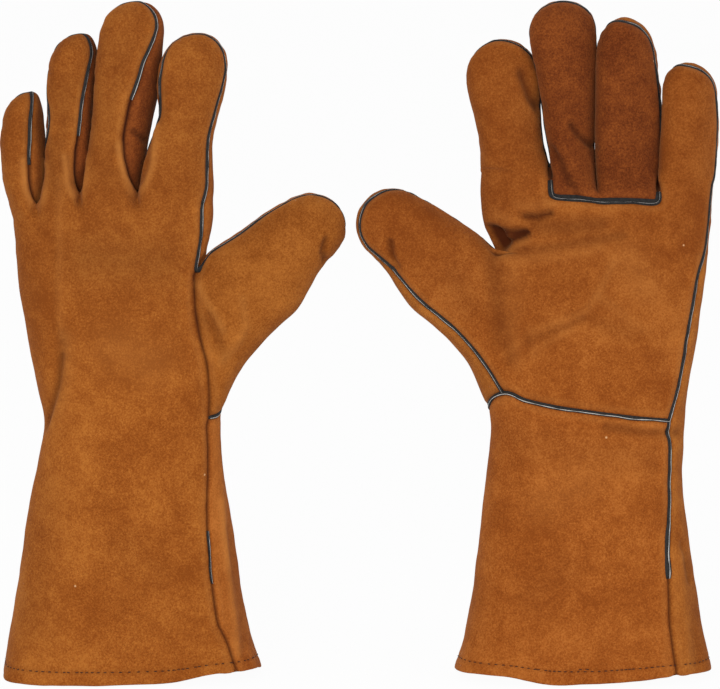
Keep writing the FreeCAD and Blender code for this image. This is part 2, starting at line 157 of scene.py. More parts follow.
# x: the glove's place in the pair
# shown: the side that faces the front of the pair, whose hem rises and whose leather has the strokes
# hem: how far that side's hem rises off the floor, by x
# palm_rows: mesh rows from the wrist seam to the inset's lower edge
# columns: mesh columns over the little, ring, middle and index fingers
# hand: (height, middle, half width, half depth)
# crotches: (x, height of the web, height of the fork on the palm side, and on the back)
# inset: height of the inset's lower edge at each crotch
# digits: base (x, z), lean to the thumb side in degrees, the tip's (distance, offset to the right), how far
#         the tip nods to the palm in degrees, and the distance below which its right seam shows no welt
#         along: (distance, left edge, right edge, half depth) along the digit
#         seams: (distance, its left seam's turn to the palm, its right seam's turn to the back)
# strokes: depth (a ridge is negative), half width, then the line of (x, z) places that it follows
GLOVES = {
    "first": {
        "x": -118.2,
        "shown": BACK_SIDE,
        "hem": ((-70, 0), (8, 0), (26, 2), (42, 5.5), (70, 6.5)),
        "palm_rows": 21,
        "columns": (3, 4, 6, 7),
        "hand": ((0, -0.5, 69, 33.5), (8, -1, 66, 33), (22, -2, 63, 32), (72, -1.5, 55, 29.5),
                 (95, -1.5, 51.5, 28), (120, -1, 47.5, 26.5), (133, 0, 45, 25.5), (146, 0, 48.5, 25),
                 (165, -4.5, 48.5, 24.5), (183, -7.5, 48.5, 24), (196, -9.5, 49, 23),
                 (208, -10.5, 49, 22.5), (220, -11, 49.5, 21.5), (229, -9, 51.5, 20.5), (242, -9, 53, 19),
                 (268, -10.5, 53.5, 16)),
        "crotches": ((-48, 243.5, 239, 238), (-25.5, 249.5, 245.5, 244), (4.5, 250, 246.5, 244)),
        "inset": (238, 242.5, 243.5),
        "digits": {
            "little_finger": {
                "base": (-57, 252), "lean": -1, "tip": (54.5, 7.5), "nod": 0, "bare": 17,
                "along": ((0, -7.5, 13, 11.5), (10, -8, 14, 12), (20, -8, 14.5, 12), (30, -9.5, 14.5, 12),
                          (41, -6.5, 13.5, 12)),
                "seams": ((0, 5, 78), (8, 8, 80), (20, 10, 80), (30, 10, 75), (42, 8, 72), (50, 8, 62)),
            },
            "ring_finger": {
                "base": (-37.5, 258.5), "lean": 6.5, "tip": (79, 5), "nod": 0, "bare": 26,
                "along": ((0, -5, 14.5, 13), (10, -7, 15, 13.5), (20, -8.5, 15, 14), (30, -9.5, 14.5, 14),
                          (40, -9.5, 14, 14), (50, -11, 13.5, 13.5), (60, -11, 13.5, 13), (66, -9, 13, 13)),
                "seams": ((0, 5, 64), (8, 8, 68), (20, 0, 68), (26, -32, 64), (38, -32, 61), (44, -6, 58),
                          (62, 4, 47), (70, 6, 34)),
            },
            "middle_finger": {
                "base": (-11, 259.5), "lean": 7, "tip": (95, 5), "nod": 0, "bare": 45,
                "along": ((0, -12, 18, 14), (20, -11.5, 18, 14), (30, -11.5, 18.5, 14), (40, -12, 20, 14.5),
                          (50, -12.5, 21, 14.5), (60, -13, 20.5, 14), (70, -13.5, 19.5, 14),
                          (80, -12, 19.5, 13.5)),
                "seams": ((0, 5, 64), (8, 8, 68), (16, 10, 80), (26, 10, 86), (45, 10, 84), (55, 8, 74),
                          (65, 8, 67), (75, 6, 50), (86, 4, 36)),
            },
            "index_finger": {
                "base": (24, 256.5), "lean": 7.5, "tip": (81.5, 3.5), "nod": -6, "bare": 0,
                "along": ((0, -19.5, 20, 14), (10, -18.5, 18, 14), (20, -17, 16.5, 14), (30, -13.5, 15, 14),
                          (40, -14, 16.5, 14), (50, -17.5, 17.5, 14), (60, -17.5, 19, 13.5),
                          (65, -15.5, 18, 13)),
                "seams": ((0, 5, 28), (10, 2, 36), (30, -4, 34), (38, -26, 30), (50, -30, 26),
                          (62, -24, 18), (76, 0, 12)),
            },
            "thumb": {
                "base": (33.5, 183.5), "lean": 48, "tip": (98, 2), "nod": -4, "bare": 0,
                "along": ((-20, -24, 43, 22), (-10, -24, 36, 21.5), (0, -24.5, 32.5, 21), (10, -25, 30, 20),
                          (20, -25.5, 29, 19.5), (29, -25.5, 28, 19), (40, -24, 29, 18),
                          (50, -21.5, 27.5, 17), (60, -21, 23, 16.5), (70, -20, 20, 16),
                          (79, -17, 20, 14.5)),
                "seams": ((0, -10, -30), (60, -10, -30), (80, -6, -24), (98, 0, -16)),
            },
        },
        "strokes": (
            (1.2, 4, (-34.5, 182), (-36, 160), (-40.5, 147), (-46, 136)),
            (1.8, 1.5, (-35, 172), (-38, 155), (-45.5, 131)),
            (-0.7, 2.2, (-35.5, 262), (-35.5, 228), (-36, 205), (-34.5, 182)),
            (-0.9, 4.5, (-31.5, 180), (-33, 160), (-37, 143)),
            (-1, 1.8, (35.5, 208), (40.5, 198.5), (45.5, 190.5), (48.5, 184.5)),
            (1.6, 4.2, (38.5, 190), (45, 179), (49.5, 171)),
            (-1, 2.2, (58.5, 201), (60, 186), (55, 176), (46.5, 167.5)),
            (2, 1.7, (101.5, 219), (100, 224), (101.5, 231)),
            (-1.3, 2.2, (44.5, 134), (45.5, 118), (47, 82), (49, 60)),
            (-1.1, 2, (45.5, 94), (50, 60), (55.5, 16)),
            (0.9, 2.4, (51, 80), (60, 20)),
            (-1.3, 1.8, (-54.5, 272), (-53.5, 256), (-51, 249.5), (-47, 247.5), (-44.5, 251), (-43.5, 270)),
            (-1.3, 1.8, (-33, 274), (-31.5, 260), (-28.5, 253.5), (-25, 253.5), (-22.5, 260), (-21.5, 274)),
            (-1.3, 1.8, (-5, 280), (-2.5, 264), (1, 256), (4, 253.5), (9, 260), (13, 272), (14.5, 290)),
            (1.6, 1.3, (2, 287), (5, 285), (8.5, 281.5)),
            (1.3, 13, (-22, 222), (16, 220)),
            (-0.8, 14, (-6, 176), (10, 168)),
            (1, 10, (-38, 262), (-34, 306)),
            (0.6, 12, (-10, 268), (-4, 330)),
            (0.6, 12, (-52, 30), (-44, 96)),
            (0.6, 10, (-2, 72), (14, 60)),
        ),
    },
    "second": {
        "x": 115.8,
        "shown": PALM_SIDE,
        "hem": ((-70, 5), (-46, 4.5), (-18, 1.5), (0, 0), (16, 0.5), (38, 4.5), (70, 5)),
        "palm_rows": 22,
        "columns": (5, 6, 5, 7),
        "hand": ((0, -1.5, 68, 33.5), (8, -2, 65.5, 33), (20, -2.5, 62.5, 32), (45, -2.5, 59, 30.5),
                 (70, -2, 55, 29.5), (95, -1.5, 52, 28.5), (108, -2, 51.5, 28), (120, -3.5, 51, 27.5),
                 (133, -4.5, 50, 27), (146, -3, 52.5, 26.5), (158, -6, 52, 26), (171, -7.5, 52.5, 26),
                 (183, -9, 53, 25), (196, -10, 53.5, 24.5), (208, -11, 53.5, 23.5),
                 (221, -11.5, 54.5, 22.5), (229, -9, 57.5, 21.5), (236, -8, 59.5, 21), (248, -7, 61, 19),
                 (268, -8, 62, 16)),
        "crotches": ((-39, 258.5, 255, 253.5), (-7.5, 257, 253.5, 252), (16.5, 265, 261.5, 260)),
        "inset": (250.5, 252, 252.5),
        "digits": {
            "little_finger": {
                "base": (-54, 256.5), "lean": -2, "tip": (65, 4), "nod": 20, "bare": 0,
                "along": ((0, -15, 15.5, 13), (10, -15, 15.5, 13.5), (30, -15.5, 15, 13.5),
                          (42, -15, 15, 13), (51, -13, 15, 12.5)),
                "seams": ((0, 9, 20), (10, 10, 30), (30, 12, 46), (50, 14, 40), (62, 12, 30)),
            },
            "ring_finger": {
                "base": (-23.5, 257), "lean": 1.5, "tip": (88.5, 2), "nod": 24, "bare": 0,
                "along": ((0, -17, 16.5, 13.5), (10, -17.5, 16.5, 14), (20, -18.5, 16.5, 14),
                          (40, -19, 16, 14), (50, -18, 15.5, 14), (60, -17, 15, 14), (70, -15.5, 14.5, 13)),
                "seams": ((0, 10, 10), (10, 12, 30), (30, 16, 46), (60, 18, 40), (84, 18, 30)),
            },
            "middle_finger": {
                "base": (4.5, 266), "lean": 4, "tip": (88, 1), "nod": 10, "bare": 0,
                "along": ((0, -11, 12, 13.5), (10, -11.5, 12, 14), (20, -12.5, 13.5, 14),
                          (40, -14.5, 15, 14), (50, -15, 16, 14), (60, -16, 17.5, 14), (70, -16.5, 19, 14),
                          (74, -16, 18, 13.5)),
                "seams": ((0, 2, 4), (10, 2, 6), (60, 2, 6), (84, 4, 6)),
            },
            "index_finger": {
                "base": (34.5, 264.5), "lean": 7.5, "tip": (70, 1), "nod": 8, "bare": 0,
                "along": ((0, -17.5, 19, 13.5), (10, -16.5, 17, 14), (20, -16, 16.5, 14),
                          (30, -17, 16.5, 14), (40, -19, 18, 14), (50, -19, 19.5, 13)),
                "seams": ((0, 6, 20), (20, 0, 30), (36, -4, 34), (50, 6, 20), (66, 12, 10)),
            },
            "thumb": {
                "base": (42, 190), "lean": 49, "tip": (93, 1.5), "nod": 22, "bare": 0,
                "along": ((-20, -23.5, 33, 22), (-10, -23.5, 28, 21.5), (0, -24, 27, 21),
                          (10, -24, 26.5, 20), (20, -24.5, 26.5, 19), (30, -24.5, 27.5, 18.5),
                          (40, -24, 27, 18), (50, -22.5, 24.5, 17), (60, -21.5, 20.5, 16.5),
                          (70, -19.5, 21, 15.5), (76, -17, 19.5, 14.5)),
                "seams": ((0, -8, -48), (40, -8, -44), (60, -6, -36), (76, -4, -28), (94, 0, -20)),
            },
        },
        "strokes": (
            (2.6, 1.6, (31, 243.5), (24, 243.5), (17, 245.5)),
            (-0.8, 2.6, (33, 249), (24, 248.5), (16, 250.5)),
            (4.2, 2.9, (48, 235), (43.5, 227.5)),
            (3.6, 2.6, (45.5, 232), (41, 229)),
            (2.8, 1.6, (43, 226.5), (37, 230.5), (29.5, 235)),
            (3.2, 2.8, (45, 235), (38, 234), (32, 234.5)),
            (-0.9, 1.8, (41.5, 223), (36, 227), (28.5, 231.5)),
            (-0.9, 3, (44, 243.5), (37, 241)),
            (2, 4.8, (46.5, 222), (45, 205), (42.5, 178)),
            (-0.7, 4, (36.5, 220), (35.5, 205), (36.5, 184)),
            (-1, 2.1, (40, 171), (27, 184), (-1, 195), (-6.5, 203), (-15.5, 221)),
            (1.1, 1.6, (40, 167.5), (27, 180), (0, 191)),
            (-0.8, 2.1, (38, 163.5), (20, 178), (6, 186)),
            (-0.7, 2.8, (-8, 203), (-23, 191.5), (-31, 186)),
            (0.8, 4.5, (-6, 190), (-24, 183)),
            (1.1, 2.6, (40, 225), (25, 226), (2, 230.5), (-20, 234)),
            (-0.7, 2.6, (31, 221), (9, 223.5), (-8, 228)),
            (-0.8, 8, (-22, 224), (-30, 208)),
            (2.2, 1.7, (96, 217), (99, 223), (99.5, 230)),
            (0.9, 8, (66, 214), (60, 196)),
            (1.8, 2.6, (-50.5, 130), (-30, 132.5), (-12, 135)),
            (0.9, 4.5, (-56.5, 60), (-58.5, 34), (-60.5, 10)),
            (1.2, 1.4, (-52.5, 72), (-54.5, 62), (-57, 52)),
            (-0.9, 3.6, (-52, 66), (-54, 36), (-56, 10)),
            (2.2, 2.6, (31.5, 317), (28.5, 309), (26, 303), (22.5, 299)),
            (2, 1.8, (6, 290.5), (2.5, 285.5), (-5.5, 278.5)),
            (1.8, 2.2, (16.5, 277), (12, 271), (9, 264), (3, 256)),
            (1.7, 4.5, (26, 239), (8, 238), (-8, 240)),
            (0.7, 12, (10, 60), (24, 46)),
            (0.9, 12, (-34, 119), (34, 126)),
            (-0.7, 12, (0, 106), (20, 96)),
        ),
    },
}

FINGERS = ("little_finger", "ring_finger", "middle_finger", "index_finger")
DIGITS = (*FINGERS, "thumb")
HAND_PANELS = ("back_panel", "palm_panel", "inset_panel", "thumb_back_panel", "cuff_panel")
PANELS = [*HAND_PANELS, *(f"{digit}_{side}" for digit in DIGITS for side in ("back", "front"))]
PANEL = {name: number for number, name in enumerate(PANELS)}

# The panels that are cut in one piece. A seam runs wherever two cuts meet.
CUTS = {
    "back": ("back_panel", *(f"{finger}_back" for finger in FINGERS)),
    "palm": ("palm_panel", "little_finger_front", "index_finger_front", "thumb_front"),
    "inset": ("inset_panel", "ring_finger_front", "middle_finger_front"),
    "thumb_back": ("thumb_back_panel", "thumb_back"),
    "cuff": ("cuff_panel",),
}
CUT_OF = {panel: cut for cut, panels in CUTS.items() for panel in panels}


# ---------------------------------------------------------------- shapes

def power(value, squareness=SQUARENESS):
    """A cosine or sine made squarer, so that a circle of them is a squarish oval."""
    return np.sign(value) * np.abs(value) ** (2 / squareness)


def along(rows, at, column=1):
    """A column of the rows at that distance, eased over the rows' corners."""
    distances = [row[0] for row in rows]
    values = [row[column] for row in rows]
    return float(np.mean([np.interp(at + d, distances, values) for d in (-6, -3, 0, 3, 6)]))


def ease(value):
    """0 to 1, slow at both ends."""
    value = min(1.0, max(0.0, value))
    return value * value * (3 - 2 * value)


def bell(value, centre, width):
    """1 at the centre, falling away on both sides of it over that width."""
    return np.exp(-((value - centre) / width) ** 2)


def oval(half_width, half_depth, first, last):
    """Steps round an oval from one angle in degrees to another: angles in radians, and the way so far."""
    angles = np.radians(np.linspace(first, last, OVAL_STEPS))
    x, y = half_width * power(np.cos(angles)), half_depth * power(np.sin(angles))
    return angles, np.concatenate([[0], np.cumsum(np.hypot(np.diff(x), np.diff(y)))])


def spread(half_width, half_depth, first, last, shares):
    """Angles on an oval, in radians, at those shares of the way round it from the first angle to the last."""
    angles, way = oval(half_width, half_depth, first, last)
    return np.interp(np.asarray(shares) * way[-1], way, angles)


def share_at(half_width, half_depth, first, last, angle):
    """The share of the way round an oval, from the first angle to the last, at which an angle lies."""
    _, way = oval(half_width, half_depth, first, last)
    return float(np.interp(abs(angle - first), np.linspace(0, abs(last - first), OVAL_STEPS), way / way[-1]))


def start_loop(bm, places):
    """A closed loop of vertices at those places."""
    loop = list(bmesh.ops.create_circle(bm, segments=len(places), cap_ends=False)["verts"])
    for v, place in zip(loop, places):
        v.co = place
    return loop


def edges_round(bm, loop):
    return [bm.edges.get(pair) for pair in zip(loop, loop[1:] + loop[:1])]


def extrude_loop(bm, loop, places):
    """Extrudes a closed loop and sets its new vertices in place. Gives the new loop and faces, in order."""
    made = bmesh.ops.extrude_edge_only(bm, edges=edges_round(bm, loop))
    old = set(loop)
    match = {}
    for v in made["geom"]:
        if isinstance(v, bmesh.types.BMVert):
            for e in v.link_edges:
                if e.other_vert(v) in old:
                    match[e.other_vert(v)] = v
    new = [match[v] for v in loop]
    for v, place in zip(new, places):
        v.co = place
    return new, [e.link_faces[0] for e in edges_round(bm, new)]


def fill_tip(bm, loop, place):
    """Closes a loop with a fan round one vertex. Gives its faces in the loop's order."""
    edges = edges_round(bm, loop)
    cap = bmesh.ops.contextual_create(bm, geom=edges)["faces"]
    fan = bmesh.ops.poke(bm, faces=cap)
    fan["verts"][0].co = place
    inside = set(fan["faces"])
    return [next(f for f in e.link_faces if f in inside) for e in edges]


def settle_order(bm):
    """Orders edges and faces by their vertices, because extrusion leaves them in an order of its own."""
    bm.verts.index_update()
    for parts in (bm.edges, bm.faces):
        parts.sort(key=lambda part: min(v.index for v in part.verts) * 1e6 + sum(v.index for v in part.verts))


def new_object(name, data):
    made = bpy.data.objects.new(name, data)
    bpy.context.scene.collection.objects.link(made)
    return made


# ---------------------------------------------------------------- digits

def axes(digit):
    """A digit's base, the direction up along it and the direction across it to the right."""
    x, z = digit["base"]
    lean = math.radians(digit["lean"])
    up = Vector((math.sin(lean), 0, math.cos(lean)))
    across = Vector((math.cos(lean), 0, -math.sin(lean)))
    return Vector((x, 0, z)), up, across


def dome(digit):
    """The rings of a digit's round end, as (distance, slope, share of its full size)."""
    end, tip = digit["along"][-1][0], digit["tip"][0]
    turns = [math.radians(turn) for turn in DOME_TURNS]
    return [(end + (tip - end) * math.sin(turn), 0.0, math.cos(turn) ** DOME_POWER) for turn in turns]


def digit_section(digit, distance, slope, share):
    """The middle, half width and half depth of a digit's ring."""
    rows = digit["along"]
    left, right = along(rows, distance, 1), along(rows, distance, 2)
    if slope:
        left = along(rows, distance - slope * left, 1)
        right = along(rows, distance - slope * right, 2)
    middle = (right + left) / 2
    middle += (digit["tip"][1] - middle) * (1 - share)
    return middle, (right - left) / 2 * share, along(rows, distance, 3) * share


def digit_angles(digit, distance, half, deep, palm_side, back_side):
    """Angles round a digit's ring, in radians, spread evenly between its seams on each side."""
    distances, to_palm, to_back = zip(*digit["seams"])
    first = 180 - np.interp(distance, distances, to_palm)
    last = -np.interp(distance, distances, to_back)
    angles = np.zeros(len(palm_side) + len(back_side) - 2)
    for side, start, stop in ((palm_side, first, last), (back_side, last, first - 360)):
        angles[side] = spread(half, deep, start, stop, np.arange(len(side)) / (len(side) - 1))
    return angles


# ---------------------------------------------------------------- the skin of one glove

class Skin:
    """One glove's leather as a coarse cage of quads, with a panel number on each face."""

    def __init__(self, cut):
        self.cut = cut
        self.bm = bmesh.new()
        self.panel = self.bm.faces.layers.int.new("panel")
        self.level = self.bm.verts.layers.float.new("level")
        self.count = sum(cut["columns"])
        self.forks = [int(column) for column in np.cumsum(cut["columns"])[:3]]
        self.marks = [0, *self.forks, self.count]
        self.make_hand()
        self.part_thumb()
        self.webs = [self.web(i) for i in range(3)]
        for i, name in enumerate(FINGERS):
            self.make_finger(i, name)
        self.make_thumb()
        self.bm.normal_update()
        bmesh.ops.recalc_face_normals(self.bm, faces=self.bm.faces)
        settle_order(self.bm)

    def mark(self, faces, name):
        for f in faces:
            f[self.panel] = PANEL[name]

    def column(self, i):
        """The column of a place round the hand: up to the thumb's side on the palm, then back on the back."""
        return i if i <= self.count else 2 * self.count - i

    def heights(self):
        """Heights, at each place round the hand, of the wrist seam, the inset's edge and the crotches."""
        n = self.count
        wrist, low, top = np.zeros((3, 2 * n))
        for i in range(2 * n):
            palm = i <= n
            c = self.column(i)
            across = WRIST if palm else (WRIST[0], WRIST[-1])
            wrist[i] = np.interp(c / n, *zip(*across))
            forks = [crotch[2 if palm else 3] for crotch in self.cut["crotches"]]
            ends = [forks[0] + SIDE_RISE, *forks, forks[2] + SIDE_RISE]
            finger = min(3, sum(c >= fork for fork in self.forks))
            share = (c - self.marks[finger]) / (self.marks[finger + 1] - self.marks[finger])
            arch = math.sin(math.pi * share) * (1 if finger in (1, 2) else 0.8)
            top[i] = ends[finger] * (1 - share) + ends[finger + 1] * share + KNUCKLE_RISE * arch
            low[i] = top[i] - TOP_ROW
            if palm and self.forks[0] <= c <= self.forks[2]:
                low[i] = np.interp(c, self.forks, self.cut["inset"])
        return wrist, low, top

    def squareness(self, height):
        """The cuff's section is squarer at the hem, where a hand has not rounded it."""
        return SQUARENESS + HEM_SQUARENESS * math.exp(-max(0.0, height) / HEM_SQUARENESS_FADE)

    def section(self, height):
        """The middle, half width and half depth of the hand at that height."""
        return [along(self.cut["hand"], height, k) for k in (1, 2, 3)]

    def seam_turns(self, height):
        """Both side seams' turns at that height, in degrees, allowing for the section's squareness."""
        ratio = self.squareness(height) / SQUARENESS
        turns = [math.radians(np.interp(height, *zip(*seam))) for seam in (OUTER_SEAM, INNER_SEAM)]
        return [math.degrees(math.acos(math.cos(turn) ** ratio)) for turn in turns]

    def angles(self, height, head):
        """The angles, in radians, of the places round the hand. Head is the crotches' mean height."""
        n = self.count
        _, wide, deep = self.section(height)
        head_middle, head_wide, _ = self.section(head)
        outer, inner = self.seam_turns(height)
        gathered = ease((height - GATHER_FROM) / GATHER_OVER)
        columns = np.arange(n + 1)
        angles = np.zeros(2 * n)
        for side in (PALM_SIDE, BACK_SIDE):
            first, last = side * 180 - outer, -inner
            shares = [0.0]
            for x, *_ in self.cut["crotches"]:
                out = (x - head_middle) / head_wide
                turn = math.degrees(math.acos(math.copysign(min(1, abs(out)) ** (SQUARENESS / 2), out)))
                shares.append(share_at(wide, deep, first, last, side * turn))
            drawn = np.interp(columns, self.marks, [*shares, 1.0])
            found = spread(wide, deep, first, last, columns / n * (1 - gathered) + drawn * gathered)
            if side == PALM_SIDE:
                angles[:n + 1] = found
            else:
                angles[n + 1:] = found[n - 1:0:-1]
        return angles

    def ring(self, heights, tops):
        """Places round the hand at those heights. Tops are the crotches' heights there."""
        angles = self.angles(float(np.mean(heights)), float(np.mean(tops)))
        places = []
        for i, (z, top, angle) in enumerate(zip(heights, tops, angles)):
            middle, wide, deep = self.section(z)
            near = sum(bell(self.column(i), fork, CROTCH_PINCH_COLUMNS) for fork in self.forks)
            deep *= 1 - CROTCH_PINCH * min(1, near) * math.exp(-max(0, top - z) / CROTCH_PINCH_HEIGHT)
            square = self.squareness(z)
            x = middle + wide * power(math.cos(angle), square)
            y = deep * power(math.sin(angle), square)
            places.append(Vector((x, y, z + self.hem_lift(x, y, z))))
        return places

    def hem_lift(self, x, y, z):
        """How far the hem's rise lifts a place."""
        shown = ease(0.5 + self.cut["shown"] * y / HEM_LIFT_DEPTH)
        return np.interp(x, *zip(*self.cut["hem"])) * shown * math.exp(-max(0, z) / HEM_LIFT_FADE)

    def inside(self, height, inset):
        """Places round the hand at that height, moved in from the skin."""
        middle = self.cut["hand"][0][1]
        moved = []
        for p in self.ring(np.full(2 * self.count, height), self.heights()[2]):
            share = 1 - inset / math.hypot(p.x - middle, p.y)
            moved.append(Vector((middle + (p.x - middle) * share, p.y * share, p.z)))
        return moved

    def add_row(self, loop, places, palm_panel):
        """Extrudes a row round the hand. Gives the new loop and its faces, in order."""
        loop, faces = extrude_loop(self.bm, loop, places)
        self.mark(faces[:self.count], palm_panel)
        self.mark(faces[self.count:], "back_panel")
        return loop, faces

    def make_hand(self):
        """Grows the hem's turned edge, the cuff and the hand, up to the crotches."""
        wrist, low, top = self.heights()
        loop = start_loop(self.bm, self.inside(*TURNED_EDGE[0]))
        for v in loop:
            v[self.level] = TURNED_LEVEL
        for height, inset in TURNED_EDGE[1:]:
            loop, _ = self.add_row(loop, self.inside(height, inset), "cuff_panel")
        palm_rows = self.cut["palm_rows"]
        rows = [HEM_START + (wrist - HEM_START) * r / CUFF_ROWS for r in range(CUFF_ROWS + 1)]
        rows += [wrist + (low - wrist) * r / palm_rows for r in range(1, palm_rows + 1)]
        self.rows = []
        for r, heights in enumerate([*rows, top]):
            palm_panel = "cuff_panel" if r <= CUFF_ROWS else "palm_panel"
            loop, faces = self.add_row(loop, self.ring(heights, top), palm_panel)
            for v, height in zip(loop, heights):
                v[self.level] = height
            self.rows.append(loop)
        self.mark(faces[self.forks[0]:self.forks[2]], "inset_panel")

    def part_thumb(self):
        """Takes out the skin where the thumb grows from the hand."""
        n, low, high = self.count, CUFF_ROWS, CUFF_ROWS + THUMB_ROWS
        gone = []
        for r in range(low, high):
            for c in range(n - THUMB_COLUMNS, n):
                edge = self.bm.edges.get((self.rows[r][c], self.rows[r][c + 1]))
                above = self.rows[r + 1][c]
                gone.append(next(f for f in edge.link_faces if above in f.verts))
        bottom, top = self.rows[low], self.rows[high]
        self.thumb_loop = [top[c] for c in range(n, n - THUMB_COLUMNS, -1)]
        self.thumb_loop += [self.rows[r][n - THUMB_COLUMNS] for r in range(high, low, -1)]
        self.thumb_loop += [bottom[c] for c in range(n - THUMB_COLUMNS, n)]
        self.thumb_loop += [self.rows[r][n] for r in range(low, high)]
        bmesh.ops.delete(self.bm, geom=gone, context="FACES")

    def web(self, i):
        """The web between two fingers: a ridge of three vertices from the palm side to the back."""
        top, c = self.rows[-1], self.forks[i]
        front, back = top[c], top[2 * self.count - c]
        x, height = self.cut["crotches"][i][:2]
        ridge = []
        for share in (0.5, 0.0, -0.5):
            fork = front if share > 0 else back
            rise = WEB_RISE if share == 0 else (fork.co.z - height) * 0.35
            ridge.append(self.bm.verts.new((x, share * (front.co.y - back.co.y) / 2, height + rise)))
        line = [front, *ridge, back]
        for pair in zip(line, line[1:]):
            self.bm.edges.new(pair)
        return ridge

    def make_finger(self, i, name):
        """Grows a finger from its part of the hand's top edge and the webs beside it."""
        n, top = self.count, self.rows[-1]
        first, last = self.marks[i], self.marks[i + 1]
        front = top[first:last + 1]
        back = [top[2 * n - c] for c in range(min(last, n - 1), max(first, 1) - 1, -1)]
        right_web = self.webs[i] if i < 3 else []
        left_web = self.webs[i - 1][::-1] if i > 0 else []
        loop = [*front, *right_web, *back, *left_web]
        # A seam rises from the middle of each web, and from the hand's own side seams.
        right = len(front) + 1 if right_web else len(front) - 1
        left = len(loop) - 2 if left_web else 0
        end = self.cut["digits"][name]["along"][-1][0]
        rings = [(t, 0.0) for t in (*FINGER_RINGS, *np.arange(FINGER_START, end, RING_PITCH))]
        self.grow_digit(name, loop, left, right, rings, FINGER_TURN, 0.0)

    def make_thumb(self):
        """Grows the thumb from the hole in the hand's side."""
        end = self.cut["digits"]["thumb"]["along"][-1][0]
        rings = [*THUMB_FAN, *((t, 0.0) for t in np.arange(THUMB_START, end, RING_PITCH))]
        right = THUMB_COLUMNS + THUMB_ROWS + THUMB_COLUMNS - THUMB_SEAM_COLUMN
        self.grow_digit("thumb", self.thumb_loop, 0, right, rings, 0.0, THUMB_ROOT)

    def grow_digit(self, name, loop, left, right, rings, turn, root):
        """Grows a digit from a loop, ring by ring, to its round end.

        Left and right are its seams' places in the loop. Rings are (distance, slope). Turn is how far its
        right edge turns to the palm, and root is the distance up to which its leather is the hand's.
        """
        digit = self.cut["digits"][name]
        base, up, across = axes(digit)
        count = len(loop)
        palm_side = [(left + k) % count for k in range((right - left) % count + 1)]
        back_side = [(right + k) % count for k in range((left - right) % count + 1)]
        end, (tip, tip_offset), nod = digit["along"][-1][0], digit["tip"], math.radians(digit["nod"])
        # Rounding draws a ring of this many vertices in, so it is made larger by as much.
        fill = 3 / (2 + math.cos(2 * math.pi / count))
        rest = [v.co.copy() for v in loop]
        for number, (t, slope, share) in enumerate([(t, slope, 1.0) for t, slope in rings] + dome(digit)):
            middle, half, deep = digit_section(digit, t, slope, share)
            half, deep = half * fill, deep * fill
            settled = SETTLED[number] if number < len(SETTLED) else 1.0
            past = max(0.0, t - end)
            bow = nod * past / (tip - end)
            places = []
            for k, angle in enumerate(digit_angles(digit, t, half, deep, palm_side, back_side)):
                out, y = half * power(math.cos(angle)), deep * power(math.sin(angle))
                rise = t - past - slope * (middle + out) + past * math.cos(bow) - y * math.sin(bow)
                place = base + across * (middle + out) + up * rise
                place.y += y * math.cos(bow) + past * math.sin(bow) + turn * out / max(half, 1) * share
                if settled < 1:
                    grown = rest[k] + ((place - rest[k]) * 0.5 if root else up * t)
                    place = grown.lerp(place, settled)
                places.append(place)
            loop, faces = extrude_loop(self.bm, loop, places)
            panels = (f"{name}_front", f"{name}_back") if t > root else ("palm_panel", "thumb_back_panel")
            self.mark_sides(faces, palm_side, *panels)
        apex = base + across * tip_offset + up * (end + (tip - end) * math.cos(nod))
        apex.y += (tip - end) * math.sin(nod)
        self.mark_sides(fill_tip(self.bm, loop, apex), palm_side, *panels)

    def mark_sides(self, faces, palm_side, front, back):
        """Marks the faces of a digit's ring as its front panel or its back panel."""
        in_front = set(palm_side[:-1])
        for k, f in enumerate(faces):
            self.mark([f], front if k in in_front else back)


def rounded(skin):
    """The cage, rounded, as a mesh in the glove's own frame."""
    mesh = bpy.data.meshes.new("skin")
    skin.bm.to_mesh(mesh)
    cage = new_object("skin", mesh)
    smooth = cage.modifiers.new("round", "SUBSURF")
    smooth.levels = smooth.render_levels = SUBDIVISIONS
    done = bpy.data.meshes.new_from_object(cage.evaluated_get(bpy.context.evaluated_depsgraph_get()))
    bpy.data.objects.remove(cage)
    bpy.data.meshes.remove(mesh)
    return done


# ---------------------------------------------------------------- seams, creases and folds

def limb_of(panel):
    """0 for a panel of the hand, and 1 to 5 for a digit's."""
    hand = len(HAND_PANELS)
    return 0 if panel < hand else (panel - hand) // 2 + 1


